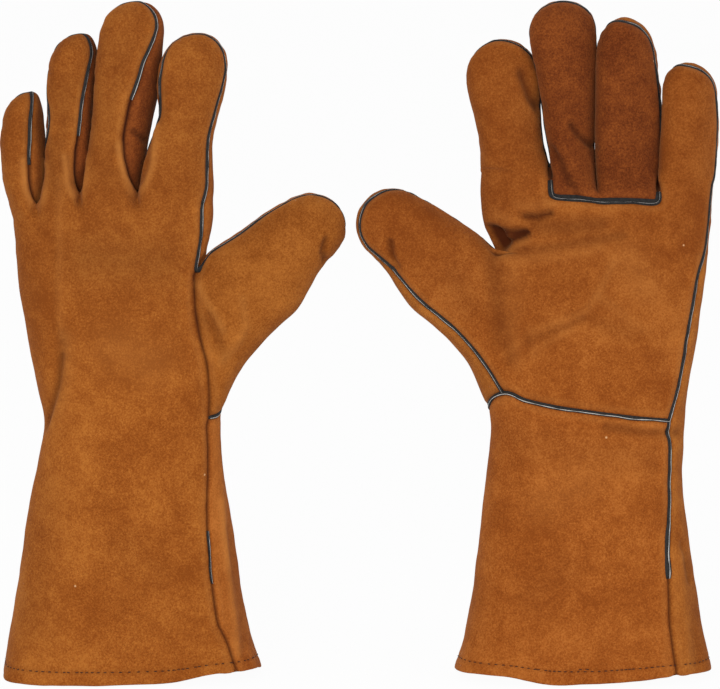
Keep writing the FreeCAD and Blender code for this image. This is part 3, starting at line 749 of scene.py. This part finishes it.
class Leather:
    """The rounded skin's vertices, normals and seams."""

    def __init__(self, mesh):
        self.mesh = mesh
        self.co = np.zeros(len(mesh.vertices) * 3)
        mesh.vertices.foreach_get("co", self.co)
        self.co = self.co.reshape(-1, 3)
        self.panel = np.zeros(len(mesh.polygons), int)
        mesh.attributes["panel"].data.foreach_get("value", self.panel)
        # The height of each place before its hem is lifted, and below 0 on the turned edge inside.
        self.level = np.zeros(len(mesh.vertices), np.float32)
        mesh.attributes["level"].data.foreach_get("value", self.level)
        self.read_normals()
        self.limbs = np.zeros((len(self.co), 1 + len(DIGITS)), bool)
        self.seams = {}
        owner = {}
        for f in mesh.polygons:
            panel = int(self.panel[f.index])
            for v in f.vertices:
                self.limbs[v, limb_of(panel)] = True
            for key in f.edge_keys:
                if key in owner and owner[key] != panel:
                    pair = tuple(sorted((owner[key], panel)))
                    self.seams.setdefault(pair, []).append(key)
                owner[key] = panel

    def read_normals(self):
        self.mesh.update()
        normals = np.zeros(len(self.mesh.vertices) * 3)
        self.mesh.vertex_normals.foreach_get("vector", normals)
        self.normal = normals.reshape(-1, 3)

    def write(self):
        self.mesh.vertices.foreach_set("co", self.co.ravel())
        self.read_normals()

    def sewn_points(self):
        """The vertices on the seams between different cuts of leather."""
        sewn = [keys for (a, b), keys in self.seams.items() if CUT_OF[PANELS[a]] != CUT_OF[PANELS[b]]]
        return {v for keys in sewn for key in keys for v in key}

    def seam_distance(self):
        """The distance from each vertex to the nearest seam of its own limb, and that seam's point."""
        points = self.sewn_points()
        near = np.full(len(self.co), 99.0)
        where = self.co.copy()
        for limb in self.limbs.T:
            held = [v for v in points if limb[v]]
            tree = kdtree.KDTree(len(held))
            for v in held:
                tree.insert(Vector(self.co[v]), v)
            tree.balance()
            for v in np.nonzero(limb)[0]:
                _, found, distance = tree.find(Vector(self.co[v]))
                if distance < near[v]:
                    near[v] = distance
                    where[v] = self.co[found]
        return near, where

    def waves(self):
        """Soft undulations of the leather: broad ones 34 mm across, with finer ones on them."""
        broad, middling = (np.array([noise.noise(Vector(p) / size + Vector(shift)) for p in self.co])
                           for size, shift in ((34, (0, 0, 0)), (13, (7, 3, 1))))
        fine = np.array([noise.noise(Vector(p) / 5.5) for p in self.co])
        return broad * 1.1 + middling * 0.42 + fine * 0.10

    def shape(self, strokes, shown):
        """Sinks the seams, presses the creases and lets the leather undulate.

        Leaves how much painted shade and painted highlight each place gets, for the suede's colour.
        """
        near, where = self.seam_distance()
        # Each seam pulls the leather in by about 1 mm, unevenly, and it swells again beside the seam.
        pucker = np.array([noise.noise(Vector(p) / 4.2) for p in where])
        drop = (1.0 + 0.5 * pucker) * bell(near, 0, 1.25) + 0.25 * bell(near, 0, 3.2)
        swell = (0.22 + 0.45 * pucker) * bell(near, 4.6, 2.6)
        move = swell - drop + self.waves() * np.clip(near / 8, 0.15, 1)
        # The fingers are painted a little darker than the cuff: painted shade for the light that falls off
        # towards the top.
        top_shade = np.clip((self.co[:, 2] - 160) / 100, 0, 1)
        # Painted shade follows each seam's dip, and is weaker on the swell beside it.
        hollow = 0.75 * bell(near, 0, 0.95) + 0.12 * drop - 0.35 * swell + 0.24 * top_shade
        # Painted highlight on the roll beside each seam.
        rubbed = 0.16 * bell(near, 3.4, 1.5)
        facing = np.clip(2.2 * self.normal[:, 1] * shown + 0.15, 0, 1)
        for depth, width, *line in strokes:
            pressed = depth * facing * bell(self.line_distance(line), 0, width)
            move -= pressed
            # A crease darkens the leather with painted shade, and a ridge is paled with a painted highlight.
            # Narrow ones show more.
            if depth > 0:
                hollow += pressed * (0.16 if width > 3 else 0.24)
            else:
                rubbed -= pressed * (0.18 if width > 2 else 0.3)
        # The hem's stitch line is sunk, and it gets painted shade.
        stitched = bell(self.level, HEM_STITCH_HEIGHT, 1.1)
        move -= 0.35 * stitched
        hollow += 0.2 * stitched
        self.co += self.normal * move[:, None]
        self.hollow = np.clip(hollow, -0.6, 1.2)
        self.rubbed = np.clip(rubbed, 0, 0.8)

    def line_distance(self, line):
        """The distance from each vertex to a line of (x, z) places, as seen from the front."""
        flat = self.co[:, [0, 2]]
        best = np.full(len(flat), 1e9)
        for a, b in zip(line, line[1:]):
            a, b = np.array(a, float), np.array(b, float)
            share = np.clip((flat - a) @ (b - a) / max(1e-9, (b - a) @ (b - a)), 0, 1)
            best = np.minimum(best, np.linalg.norm(flat - a - share[:, None] * (b - a), axis=1))
        return best

    def chains(self, *pairs):
        """The seam edges of those panel pairs as ordered runs of vertices."""
        links = {}
        for pair in pairs:
            key = tuple(sorted(PANEL[name] for name in pair))
            for a, b in self.seams.get(key, []):
                links.setdefault(a, []).append(b)
                links.setdefault(b, []).append(a)
        runs = []
        while links:
            start = next((v for v, ends in links.items() if len(ends) == 1), next(iter(links)))
            run = [start]
            while links.get(run[-1]):
                here = run[-1]
                ahead = links[here].pop(0)
                links[ahead].remove(here)
                for v in (here, ahead):
                    if not links.get(v):
                        links.pop(v, None)
                run.append(ahead)
            runs.append(run)
        return [run for run in runs if len(run) > SHORTEST_RUN]


# ---------------------------------------------------------------- finishes

def linear(colour):
    """An sRGB hex colour as linear red, green, blue and alpha."""
    parts = [int(colour[i:i + 2], 16) / 255 for i in (1, 3, 5)]
    return [c / 12.92 if c <= 0.04045 else ((c + 0.055) / 1.055) ** 2.4 for c in parts] + [1.0]


def add(material, kind, settings=None, links=None):
    """Adds a node. Settings are its properties, its sockets' values and a colour ramp's (place, colour)
    stops, and links join its sockets to (node, socket) pairs."""
    tree = material.node_tree
    node = tree.nodes.new(kind)
    for key, value in (settings or {}).items():
        if key == "stops":
            elements = node.color_ramp.elements
            while len(elements) < len(value):
                elements.new(0.5)
            for element, (place, colour) in zip(elements, value):
                element.position = place
                element.color = linear(colour)
        elif isinstance(key, str) and hasattr(node, key):
            setattr(node, key, value)
        else:
            node.inputs[key].default_value = value
    for key, (source, socket) in (links or {}).items():
        tree.links.new(source.outputs[socket], node.inputs[key])
    return node


def blank(name):
    material = bpy.data.materials.new(name)
    material.use_nodes = True
    material.node_tree.nodes.clear()
    return material


# Sockets of a Mix node that mixes colours, by number, as its other kinds of socket have the same names.
SHARE, UNDER, OVER, MIXED = 0, 6, 7, 2
BLACK_TO_WHITE = [(0.0, "#000000"), (1.0, "#ffffff")]


def suede(name, light, middle, dark, hollow, edge):
    """Split cowhide, sueded and dyed right through, so its colour is in soft blotches. The nap hides all
    gloss and scatters light at grazing angles. Its last two colours are painted light: painted shade where
    the leather is pressed in, and a painted highlight on the rolls and ridges."""
    m = blank(name)
    place = add(m, "ShaderNodeTexCoord")
    here = {"Vector": (place, "Object")}
    # Dye blotches are about 34 mm across, with clouds of 7 mm in them. The nap is finer than shows, so it is
    # drawn at 1 mm.
    blotch = add(m, "ShaderNodeTexNoise",
                 {"Scale": 1 / (34 * MM), "Detail": 3.0, "Roughness": 0.6, "Distortion": 0.4}, here)
    cloud = add(m, "ShaderNodeTexNoise", {"Scale": 1 / (7 * MM), "Detail": 4.0, "Roughness": 0.7}, here)
    nap = add(m, "ShaderNodeTexNoise", {"Scale": 1 / (1.0 * MM), "Detail": 2.0, "Roughness": 0.8}, here)
    clouds = add(m, "ShaderNodeMath", {"operation": "MULTIPLY", 1: 0.36}, {0: (cloud, "Fac")})
    blotches = add(m, "ShaderNodeMath", {"operation": "MULTIPLY_ADD", 1: 0.56},
                   {0: (blotch, "Fac"), 2: (clouds, 0)})
    napped = add(m, "ShaderNodeMath", {"operation": "MULTIPLY_ADD", 1: 0.74},
                 {0: (nap, "Fac"), 2: (blotches, 0)})
    hide = add(m, "ShaderNodeValToRGB", {"stops": [(0.685, dark), (0.845, middle), (1.0, light)]},
               {"Fac": (napped, 0)})
    # Painted shade darkens seams and creases, and a painted highlight pales the rolls and ridges beside them.
    pressed = add(m, "ShaderNodeAttribute", {"attribute_name": "hollow"})
    depth = add(m, "ShaderNodeValToRGB", {"stops": BLACK_TO_WHITE}, {"Fac": (pressed, "Fac")})
    shaded = add(m, "ShaderNodeMix", {"data_type": "RGBA", OVER: linear(hollow)},
               {SHARE: (depth, "Color"), UNDER: (hide, "Color")})
    highlight_share = add(m, "ShaderNodeAttribute", {"attribute_name": "rubbed"})
    rubbed = add(m, "ShaderNodeMix", {"data_type": "RGBA", OVER: linear(edge)},
                 {SHARE: (highlight_share, "Fac"), UNDER: (shaded, MIXED)})
    # A pale speck of fluff every 24 mm or so.
    speck = add(m, "ShaderNodeTexVoronoi", {"Scale": 1 / (24 * MM)}, here)
    fluff = add(m, "ShaderNodeValToRGB", {"stops": [(0.012, "#ffffff"), (0.03, "#000000")]},
                {"Fac": (speck, "Distance")})
    flecked = add(m, "ShaderNodeMix", {"data_type": "RGBA", OVER: linear("#d8a878")},
                  {SHARE: (fluff, "Color"), UNDER: (rubbed, MIXED)})
    grain = add(m, "ShaderNodeTexNoise", {"Scale": 1 / (0.9 * MM), "Detail": 4.0, "Roughness": 0.75}, here)
    bump = add(m, "ShaderNodeBump", {"Strength": 0.6, "Distance": 0.6 * MM}, {"Height": (grain, "Fac")})
    surface = add(m, "ShaderNodeBsdfPrincipled",
                  {"Roughness": 0.95, "IOR": 1.45, "Specular IOR Level": 0.12, "Sheen Weight": 0.22,
                   "Sheen Roughness": 0.45, "Sheen Tint": linear("#e0a070")},
                  {"Base Color": (flecked, MIXED), "Normal": (bump, "Normal")})
    add(m, "ShaderNodeOutputMaterial", links={"Surface": (surface, "BSDF")})
    return m


def cloth(name, pale, deep, scale, rough):
    """A plain fibre or woven finish with two tones. Scale is the fibres' size in millimetres."""
    m = blank(name)
    place = add(m, "ShaderNodeTexCoord")
    fibre = add(m, "ShaderNodeTexNoise", {"Scale": 1 / (scale * MM), "Detail": 3.0, "Roughness": 0.65},
                {"Vector": (place, "Object")})
    tone = add(m, "ShaderNodeValToRGB", {"stops": [(0.3, deep), (0.7, pale)]}, {"Fac": (fibre, "Fac")})
    bump = add(m, "ShaderNodeBump", {"Strength": 0.3, "Distance": 0.2 * MM}, {"Height": (fibre, "Fac")})
    surface = add(m, "ShaderNodeBsdfPrincipled", {"Roughness": rough, "Specular IOR Level": 0.25},
                  {"Base Color": (tone, "Color"), "Normal": (bump, "Normal")})
    add(m, "ShaderNodeOutputMaterial", links={"Surface": (surface, "BSDF")})
    return m


# In each suede the fourth colour is the painted shade and the fifth is the painted highlight.
BACK = suede("back_suede", "#b26b2a", "#9d571e", "#874513", "#4c210a", "#c4803e")
PALM = suede("palm_suede", "#b0672a", "#9b541d", "#854212", "#4a1f09", "#c37e3d")
CUFF = suede("cuff_suede", "#b4692b", "#9f561e", "#884413", "#4a1f09", "#c37e3d")
INSET = suede("inset_suede", "#9b5220", "#803f17", "#652d0f", "#351507", "#9e5527")
THUMB = suede("thumb_back_suede", "#b26b2a", "#9e5a20", "#874713", "#4e240b", "#c48240")
# Welting is a strip of black fibreboard leather with a pale grey core that shows along its cut edge.
BLACK = cloth("welting_black", "#2a2827", "#141211", 1.4, 0.7)
GREY = cloth("welting_core", "#cfccc6", "#a19d98", 1.2, 0.8)
# Hem thread is a bonded dark brown cord.
THREAD = cloth("hem_thread", "#4a2410", "#32160a", 0.8, 0.6)
# The lining is unbleached brushed cotton.
COTTON = cloth("cotton_lining", "#ddd5c4", "#c6bca8", 1.6, 0.95)

# The finish and the slot of each cut of leather.
HIDES = {
    "back": (BACK, "back_leather"),
    "palm": (PALM, "palm_leather"),
    "inset": (INSET, "inset_leather"),
    "thumb_back": (THUMB, "back_leather"),
    "cuff": (CUFF, "cuff_leather"),
}


# ---------------------------------------------------------------- pieces

def standing(cut):
    """The matrix from a glove's own frame, in millimetres, to the pair's, in metres."""
    turn = math.pi if cut["shown"] == PALM_SIDE else 0.0
    place = Matrix.Translation((cut["x"], 0, 0))
    return Matrix.Scale(MM, 4) @ place @ Matrix.Rotation(turn, 4, "Z")


def hang(piece, glove, name, nodes):
    """Attaches a piece to its glove's hand body, except a digit's piece, whose place is baked into its
    mesh, and hides the nodes that it stands for.
    """
    hand = glove + "_hand"
    digit = name.rsplit("_", 1)[0]
    if digit in DIGITS:
        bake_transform(piece)
    else:
        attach(piece, hand)
    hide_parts(*nodes)


def dress_skin(cut, leather):
    """The displaced skin as an object in its place, with a material for each panel and its normals kept."""
    mesh = leather.mesh
    for name, values in (("hollow", leather.hollow), ("rubbed", leather.rubbed)):
        mesh.attributes.new(name, "FLOAT", "POINT").data.foreach_set("value", values.astype(np.float32))
    matrix = standing(cut)
    lie = leather.normal @ np.array(matrix.to_3x3().normalized()).T
    kept = mesh.attributes.new("lie", "FLOAT_VECTOR", "POINT")
    kept.data.foreach_set("vector", lie.astype(np.float32).ravel())
    mesh.transform(matrix)
    for name in PANELS:
        mesh.materials.append(HIDES[CUT_OF[name]][0])
    mesh.polygons.foreach_set("material_index", leather.panel)
    mesh.polygons.foreach_set("use_smooth", np.ones(len(leather.panel), bool))
    return new_object("skin", mesh)


def part_panels(glove, cut, leather):
    """Parts the skin into its panels, each with the skin's own smooth normals."""
    skin = dress_skin(cut, leather)
    for o in bpy.context.selected_objects:
        o.select_set(False)
    bpy.context.view_layer.objects.active = skin
    skin.select_set(True)
    others = set(bpy.data.objects) - {skin}
    bpy.ops.object.mode_set(mode="EDIT")
    bpy.ops.mesh.select_all(action="SELECT")
    bpy.ops.mesh.separate(type="MATERIAL")
    bpy.ops.object.mode_set(mode="OBJECT")
    for piece in [o for o in bpy.data.objects if o not in others]:
        mesh = piece.data
        name = PANELS[mesh.attributes["panel"].data[0].value]
        material, slot = HIDES[CUT_OF[name]]
        piece.name = mesh.name = f"{glove}_{name}_leather"
        mesh.polygons.foreach_set("material_index", np.zeros(len(mesh.polygons), int))
        mesh.materials.clear()
        mesh.materials.append(material)
        lie = np.zeros(len(mesh.vertices) * 3)
        mesh.attributes["lie"].data.foreach_get("vector", lie)
        mesh.normals_split_custom_set_from_vertices(lie.reshape(-1, 3))
        mesh.attributes.remove(mesh.attributes["lie"])
        nodes = [f"{glove}_{name}"]
        if name.endswith("_front"):
            nodes.append(f"{glove}_{name.removesuffix('_front')}_lining")
        hang(piece, glove, name, nodes)


def finish_piece(bm, glove, cut, name, materials):
    """Turns a bmesh in the glove's own frame into a placed piece that stands for the node of its name."""
    settle_order(bm)
    mesh = bpy.data.meshes.new(f"{glove}_{name}_piece")
    bm.to_mesh(mesh)
    bm.free()
    mesh.transform(standing(cut))
    mesh.polygons.foreach_set("use_smooth", np.ones(len(mesh.polygons), bool))
    for material in materials:
        mesh.materials.append(material)
    hang(new_object(mesh.name, mesh), glove, name, [f"{glove}_{name}"])


def smoothed(values, times):
    for _ in range(times):
        values[1:-1] = (values[:-2] + 2 * values[1:-1] + values[2:]) / 4
    return values


def welt_section(here, side, up, half_width, proud, core, toward):
    """Places over a welt from edge to edge. The core shows between the two in the middle."""
    # The core's width varies, and it lies a little to the pair's right and below the welt's middle.
    pale = core * min(1.0, max(0.12, 0.9 + 1.3 * noise.noise(here / 6 + Vector((3, 9, 2)))))
    off = 0.3 * max(-1.0, min(1.0, 2 * (side.x * toward - side.z)))
    across = [-1.0, -0.96, -0.8, off - pale, off - pale + 0.02]
    across += [off + pale - 0.02, off + pale, 0.8, 0.96, 1.0]
    flank = [-WELT_ROOT, proud * 0.55, proud * 0.92, proud * 0.96, proud * 1.12]
    wander = noise.noise(here / 9)
    # The cuff's outer welt widens towards its lower end, and the short inner one thins.
    loose = ease((96 - here.z) / 40)
    wide = half_width * (1 + 0.3 * wander + (0.9 if here.x < 0 else -0.5) * loose)
    heights = flank + flank[::-1]
    return [here + side * (u * wide + 0.35 * wander) + up * h for u, h in zip(across, heights)]


def sew_welt(glove, cut, leather, name, runs, half_width, proud, core):
    """A welt of three layers along those runs of the skin: black, the pale core, and black."""
    bm = bmesh.new()
    for run in runs:
        points, normals = smoothed(leather.co[run], 3), smoothed(leather.normal[run], 3)
        steps = np.gradient(points, axis=0)
        loop = None
        for k in range(len(run)):
            here, up = Vector(points[k]), Vector(normals[k]).normalized()
            side = up.cross(Vector(steps[k])).normalized()
            taper = min(1.0, 0.8 + 0.1 * k, 0.8 + 0.1 * (len(run) - 1 - k))
            places = welt_section(here, side, up, half_width * taper, proud, core, -cut["shown"])
            if loop is None:
                loop = [bm.verts.new(p) for p in places]
                for pair in zip(loop, loop[1:] + loop[:1]):
                    bm.edges.new(pair)
                bm.faces.new(loop)
            else:
                loop, faces = extrude_loop(bm, loop, places)
                faces[4].material_index = 1
        bm.faces.new(loop)
    bmesh.ops.recalc_face_normals(bm, faces=bm.faces)
    finish_piece(bm, glove, cut, name, [BLACK, GREY])


def sew_welts(glove, cut, leather):
    """All of a glove's welts. The one under the inset is thicker, with hardly any core showing."""
    for name in DIGITS:
        runs = past_root(cut["digits"][name], leather, leather.chains((name + "_back", name + "_front")))
        sew_welt(glove, cut, leather, name + "_welt", runs, half_width=1.25, proud=1.2, core=0.17)
    side = leather.chains(("back_panel", "palm_panel"), ("thumb_back_panel", "palm_panel"))
    side += standing_out(leather, leather.chains(("back_panel", "cuff_panel")))
    sew_welt(glove, cut, leather, "side_welts", side, half_width=1.15, proud=1.2, core=0.17)
    wrist = leather.chains(("palm_panel", "cuff_panel"), ("thumb_back_panel", "cuff_panel"))
    sew_welt(glove, cut, leather, "wrist_welt", wrist, half_width=1.15, proud=1.2, core=0.2)
    inset = leather.chains(("inset_panel", "palm_panel"))
    sew_welt(glove, cut, leather, "inset_welt", inset, half_width=1.75, proud=1.5, core=0.05)


def past_root(digit, leather, runs):
    """The runs without the stretch at the digit's root where the leather rolls over its right seam."""
    if not digit["bare"]:
        return runs
    base, up, across = (np.array(v) for v in axes(digit))
    distance = (leather.co - base) @ up
    right = (leather.co - base) @ across > 0
    return [[v for v in run if not (right[v] and distance[v] < digit["bare"])] for run in runs]


def standing_out(leather, runs):
    """The stretches of the cuff's side seams where the welt stands out: a short one on the thumb's side."""
    kept = []
    for run in runs:
        low, high = OUTER_WELT if leather.co[run[0], 0] < 0 else INNER_WELT
        part = [v for v in run if low < leather.co[v, 2] < high]
        if len(part) > SHORTEST_RUN:
            kept.append(part)
    return kept


def stitch_hem(glove, cut, leather):
    """A row of short dark stitches round the hem, sunk into the leather."""
    off = np.abs(leather.level - HEM_STITCH_HEIGHT)
    held = off < 2.5
    places, normals, off = leather.co[held], leather.normal[held], off[held]
    middle = places[:, :2].mean(0)
    turn = np.arctan2(places[:, 1] - middle[1], places[:, 0] - middle[0])
    line = []
    for k in range(HEM_STITCHES):
        angle = -math.pi + 2 * math.pi * (k + 0.5) / HEM_STITCHES
        away = np.abs((turn - angle + math.pi) % (2 * math.pi) - math.pi)
        # The hem is about 40 mm from its middle, so a turn and a height are weighed alike.
        best = int(np.argmin(away * 40 + off))
        line.append((Vector(places[best]), Vector(normals[best])))
    bm = bmesh.new()
    for k, (p, out) in enumerate(line):
        ahead = line[(k + 1) % HEM_STITCHES][0] - line[k - 1][0]
        ahead.z *= 0.4
        ahead.normalize()
        side = out.cross(ahead).normalized()
        lie = Matrix((ahead, side, out)).transposed().to_4x4()
        stitch = bmesh.ops.create_uvsphere(bm, u_segments=6, v_segments=4, radius=1.0)["verts"]
        half_length = 0.98 + 0.25 * noise.noise(p * 0.7)
        bmesh.ops.scale(bm, verts=stitch, vec=(half_length, 0.30, 0.34))
        bmesh.ops.transform(bm, verts=stitch, matrix=Matrix.Translation(p + out * 0.12) @ lie)
    finish_piece(bm, glove, cut, "hem_stitches", [THREAD])


def line_hand(glove, cut, skin):
    """The cotton lining as a closed sock inside the cuff and the hand, seen from inside it."""
    bm = bmesh.new()
    loop = start_loop(bm, skin.inside(*LINING_RINGS[0]))
    for height, inset in LINING_RINGS[1:]:
        loop, _ = extrude_loop(bm, loop, skin.inside(height, inset))
    fill_tip(bm, loop, Vector((along(cut["hand"], LINING_TOP), 0, LINING_TOP)))
    bmesh.ops.recalc_face_normals(bm, faces=bm.faces)
    bmesh.ops.reverse_faces(bm, faces=bm.faces)
    finish_piece(bm, glove, cut, "hand_lining", [COTTON])


def make_glove(glove, cut):
    skin = Skin(cut)
    leather = Leather(rounded(skin))
    leather.shape(cut["strokes"], cut["shown"])
    leather.write()
    sew_welts(glove, cut, leather)
    stitch_hem(glove, cut, leather)
    line_hand(glove, cut, skin)
    part_panels(glove, cut, leather)
    skin.bm.free()


for glove, cut in GLOVES.items():
    make_glove(glove, cut)


# ---------------------------------------------------------------- floor, light and camera

def make_floor():
    """Matt white card, plain white to the eye, with the gloves' soft shadow kept faintly on it."""
    bm = bmesh.new()
    bmesh.ops.create_grid(bm, x_segments=2, y_segments=2, size=6.0)
    mesh = bpy.data.meshes.new("floor")
    bm.to_mesh(mesh)
    bm.free()
    m = blank("white_card")
    card = add(m, "ShaderNodeBsdfDiffuse", {"Color": linear("#f4f4f4")})
    glow = add(m, "ShaderNodeEmission", {"Color": linear("#ffffff"), "Strength": 1.0})
    path = add(m, "ShaderNodeLightPath")
    seen = add(m, "ShaderNodeMath", {"operation": "MAXIMUM"},
               {0: (path, "Is Camera Ray"), 1: (path, "Is Glossy Ray")})
    share = add(m, "ShaderNodeMath", {"operation": "MULTIPLY", 1: 0.96}, {0: (seen, 0)})
    both = add(m, "ShaderNodeMixShader", links={0: (share, 0), 1: (card, "BSDF"), 2: (glow, "Emission")})
    add(m, "ShaderNodeOutputMaterial", links={"Surface": (both, "Shader")})
    mesh.materials.append(m)
    new_object("floor", mesh)


def make_lamp(name, place, target, size, watts):
    lamp = bpy.data.lights.new(name, "AREA")
    lamp.shape = "SQUARE"
    lamp.size = size
    lamp.energy = watts
    holder = new_object(name, lamp)
    holder.location = place
    holder.rotation_euler = (Vector(target) - Vector(place)).to_track_quat("-Z", "Y").to_euler()


def make_room():
    """A white room, dimmer as a light than it is to the eye, with two broad lamps in front of the pair."""
    world = bpy.data.worlds.new("studio")
    bpy.context.scene.world = world
    world.use_nodes = True
    world.node_tree.nodes.clear()
    path = add(world, "ShaderNodeLightPath")
    seen = add(world, "ShaderNodeMath", {"operation": "MAXIMUM"},
               {0: (path, "Is Camera Ray"), 1: (path, "Is Glossy Ray")})
    strength = add(world, "ShaderNodeMath", {"operation": "MULTIPLY_ADD", 1: 0.46, 2: 0.54}, {0: (seen, 0)})
    white = add(world, "ShaderNodeBackground", {"Color": linear("#ffffff")}, {"Strength": (strength, 0)})
    add(world, "ShaderNodeOutputWorld", links={"Surface": (white, "Background")})
    make_lamp("key", (-0.5, -2.1, 0.9), (0, 0, 0.05), 0.9, 24.0)
    make_lamp("fill", (1.6, -1.3, 0.5), (0, 0, 0.1), 1.2, 8.0)


def make_camera():
    """A long lens, 8 degrees above the horizon, that frames the pair."""
    lens = bpy.data.cameras.new("camera")
    camera = new_object("camera", lens)
    rise = math.radians(8)
    target = Vector((0.8, 0, 174.6)) * MM
    distance = 2500 * MM
    framed_width = 374.4 * MM
    camera.location = target + Vector((0, -math.cos(rise), math.sin(rise))) * distance
    camera.rotation_euler = (math.pi / 2 - rise, 0, 0)
    lens.lens = lens.sensor_width * distance / framed_width
    lens.clip_end = 50
    bpy.context.scene.camera = camera


make_floor()
make_room()
make_camera()
bpy.context.scene.view_settings.view_transform = "Standard"
